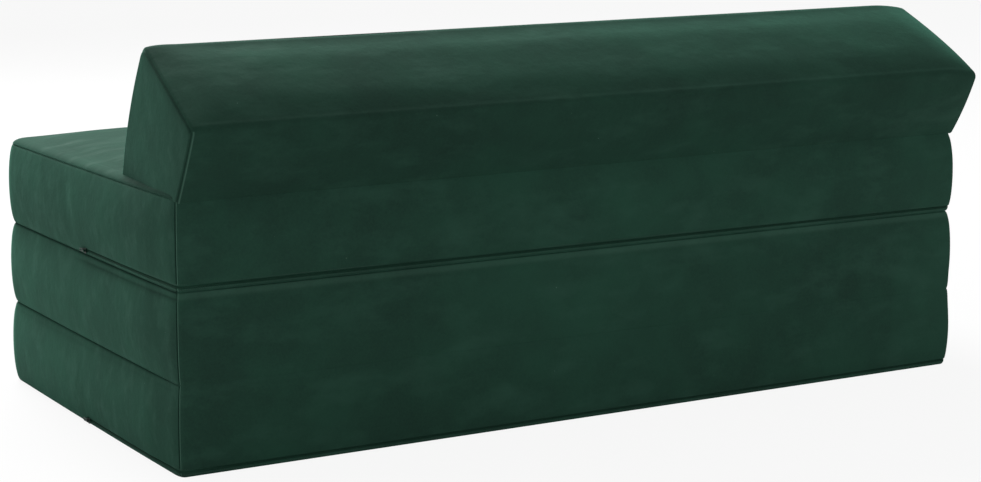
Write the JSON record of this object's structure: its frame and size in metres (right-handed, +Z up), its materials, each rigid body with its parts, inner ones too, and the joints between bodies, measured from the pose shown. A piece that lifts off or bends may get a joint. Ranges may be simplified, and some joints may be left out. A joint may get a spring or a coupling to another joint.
{
  "type": "folding sofa bed",
  "caption": "Folding foam sofa bed with stacked upholstered sections that unfold end to end and a leaning backrest that becomes the pillow, in dark green velvet",
  "frame": {"origin": "on the floor under the middle of the folded sofa's bounding box", "axes": "+X runs along the width to the right as seen from the front, -Y is the front where people sit down, +Y is the rear with the backrest, +Z is up"},
  "size_m": [1.4213, 0.7574, 0.5964],
  "materials": {
    "velvet": "matte",
    "underside_cloth": "matte",
    "foam": "matte",
    "zip_tape": "matte",
    "zip_teeth": "satin",
    "zip_metal": "satin"
  },
  "bodies": {
    "base": {"base_foam": "foam", "base_top_panel": "velvet", "base_underside_panel": "underside_cloth", "base_rear_panel": "velvet", "base_front_panel": "velvet", "base_left_end_panel": "velvet", "base_right_end_panel": "velvet", "base_zip_tape": "zip_tape", "base_zip_chain": "zip_teeth", "base_zip_stops": "zip_metal"},
    "middle": {"middle_foam": "foam", "middle_top_panel": "velvet", "middle_underside_panel": "velvet", "middle_rear_panel": "velvet", "middle_front_panel": "velvet", "middle_left_end_panel": "velvet", "middle_right_end_panel": "velvet", "front_fold_lower_strip": "velvet"},
    "seat": {"seat_foam": "foam", "seat_top_panel": "velvet", "seat_underside_panel": "velvet", "seat_rear_panel": "velvet", "seat_front_panel": "velvet", "seat_left_end_panel": "velvet", "seat_right_end_panel": "velvet", "seat_zip_tape": "zip_tape", "seat_zip_chain": "zip_teeth", "seat_zip_stops": "zip_metal", "front_fold_upper_strip": "velvet", "backrest_foam": "foam", "backrest_wrap_panel": "velvet", "backrest_left_end_panel": "velvet", "backrest_right_end_panel": "velvet"},
    "base_slider": {"base_zip_slider": "zip_metal"},
    "base_pull": {"base_zip_pull": "zip_metal"},
    "seat_slider": {"seat_zip_slider": "zip_metal"},
    "seat_pull": {"seat_zip_pull": "zip_metal"}
  },
  "joints": [
    {"name": "rear_fold", "type": "hinge", "parent": "base", "child": "middle", "pos_m": [0, 0.33925, 0.132], "axis": [-1, 0, 0], "range_deg": [0, 180]},
    {"name": "front_fold", "type": "hinge", "parent": "middle", "child": "seat", "pos_m": [0, -0.3788, 0.264], "axis": [1, 0, 0], "range_deg": [0, 180]},
    {"name": "base_zip_run", "type": "slide", "parent": "base", "child": "base_slider", "axis": [0, 1, 0], "range_m": [0, 0.324]},
    {"name": "base_pull_swing", "type": "hinge", "parent": "base_slider", "child": "base_pull", "pos_m": [0.70955, -0.0131, 0.0075], "axis": [0, 0, 1], "range_deg": [0, 175]},
    {"name": "seat_zip_run", "type": "slide", "parent": "seat", "child": "seat_slider", "axis": [0, 1, 0], "range_m": [0, 0.324]},
    {"name": "seat_pull_swing", "type": "hinge", "parent": "seat_slider", "child": "seat_pull", "pos_m": [0.70918, -0.0131, 0.2718], "axis": [0, 0, 1], "range_deg": [0, 175]}
  ],
  "couplings": [
    {"joint": "front_fold", "follows": "rear_fold", "ratio": 1}
  ]
}
